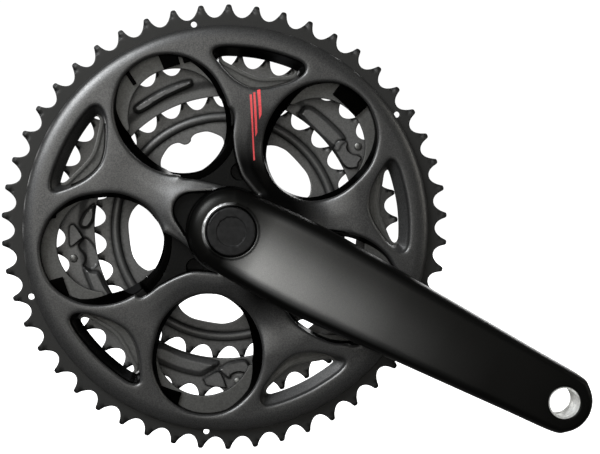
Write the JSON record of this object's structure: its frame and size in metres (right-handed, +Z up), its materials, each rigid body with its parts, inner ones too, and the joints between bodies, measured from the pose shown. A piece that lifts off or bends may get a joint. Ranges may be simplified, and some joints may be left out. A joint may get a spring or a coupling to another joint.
{
  "type": "bicycle crankset",
  "caption": "Right-hand bicycle crankset: a black crank arm, a five-armed cover and spider, and toothed chainrings riveted behind them.",
  "frame": {"origin": "on the spindle axis, at the hub's inboard face, where the square spindle enters", "axes": "+Y inboard along the spindle axis, -Y outboard towards the pedal side, +Z up, +X towards the front, with the crank arm 27.5 degrees below +X"},
  "size_m": [0.2684, 0.0509, 0.2062],
  "materials": {
    "arm_black": "satin black paint over forged aluminium, greyer on the front face",
    "cover_graphite": "satin graphite paint with fine metallic flake",
    "spider_black": "satin black",
    "ring_grey": "dark grey phosphate coat on steel",
    "rivet_steel": "plain steel",
    "bolt_steel": "zinc plated",
    "cap_black": "matte moulded black"
  },
  "bodies": {
    "crankset": {"crank_arm": "arm_black", "spider": "spider_black", "front_cover": "cover_graphite", "outer_chainring": "ring_grey", "middle_chainring": "ring_grey", "inner_chainring": "ring_grey", "outer_rivet_1": "rivet_steel", "outer_rivet_2": "rivet_steel", "outer_rivet_3": "rivet_steel", "outer_rivet_4": "rivet_steel", "outer_rivet_5": "rivet_steel", "middle_rivet_1": "rivet_steel", "middle_rivet_2": "rivet_steel", "middle_rivet_3": "rivet_steel", "middle_rivet_4": "rivet_steel", "middle_rivet_5": "rivet_steel", "inner_rivet_1": "rivet_steel", "inner_rivet_2": "rivet_steel", "inner_rivet_3": "rivet_steel", "inner_rivet_4": "rivet_steel", "inner_rivet_5": "rivet_steel", "inner_spacer_1": "spider_black", "inner_spacer_2": "spider_black", "inner_spacer_3": "spider_black", "inner_spacer_4": "spider_black", "inner_spacer_5": "spider_black", "cover_screw_1": "bolt_steel", "cover_screw_2": "bolt_steel", "cover_screw_3": "bolt_steel", "cover_screw_4": "bolt_steel", "cover_screw_5": "bolt_steel", "shift_pin_1": "rivet_steel", "shift_pin_2": "rivet_steel", "shift_pin_3": "rivet_steel"},
    "washer": {"bolt_washer": "bolt_steel"},
    "bolt": {"crank_bolt": "bolt_steel"},
    "cap": {"dust_cap": "cap_black"}
  },
  "joints": [
    {"name": "cap_pull", "type": "slide", "parent": "crankset", "child": "cap", "axis": [0, -1, 0], "range_m": [0, 0.02]},
    {"name": "washer_lift", "type": "slide", "parent": "crankset", "child": "washer", "axis": [0, -1, 0], "range_m": [0, 0.004]},
    {"name": "bolt_turn", "type": "hinge", "parent": "washer", "child": "bolt", "pos_m": [0, 0, 0], "axis": [0, -1, 0], "range_deg": [0, 1440]}
  ],
  "couplings": [
    {"joint": "washer_lift", "follows": "bolt_turn", "m_per_rad": 0.00015915}
  ]
}
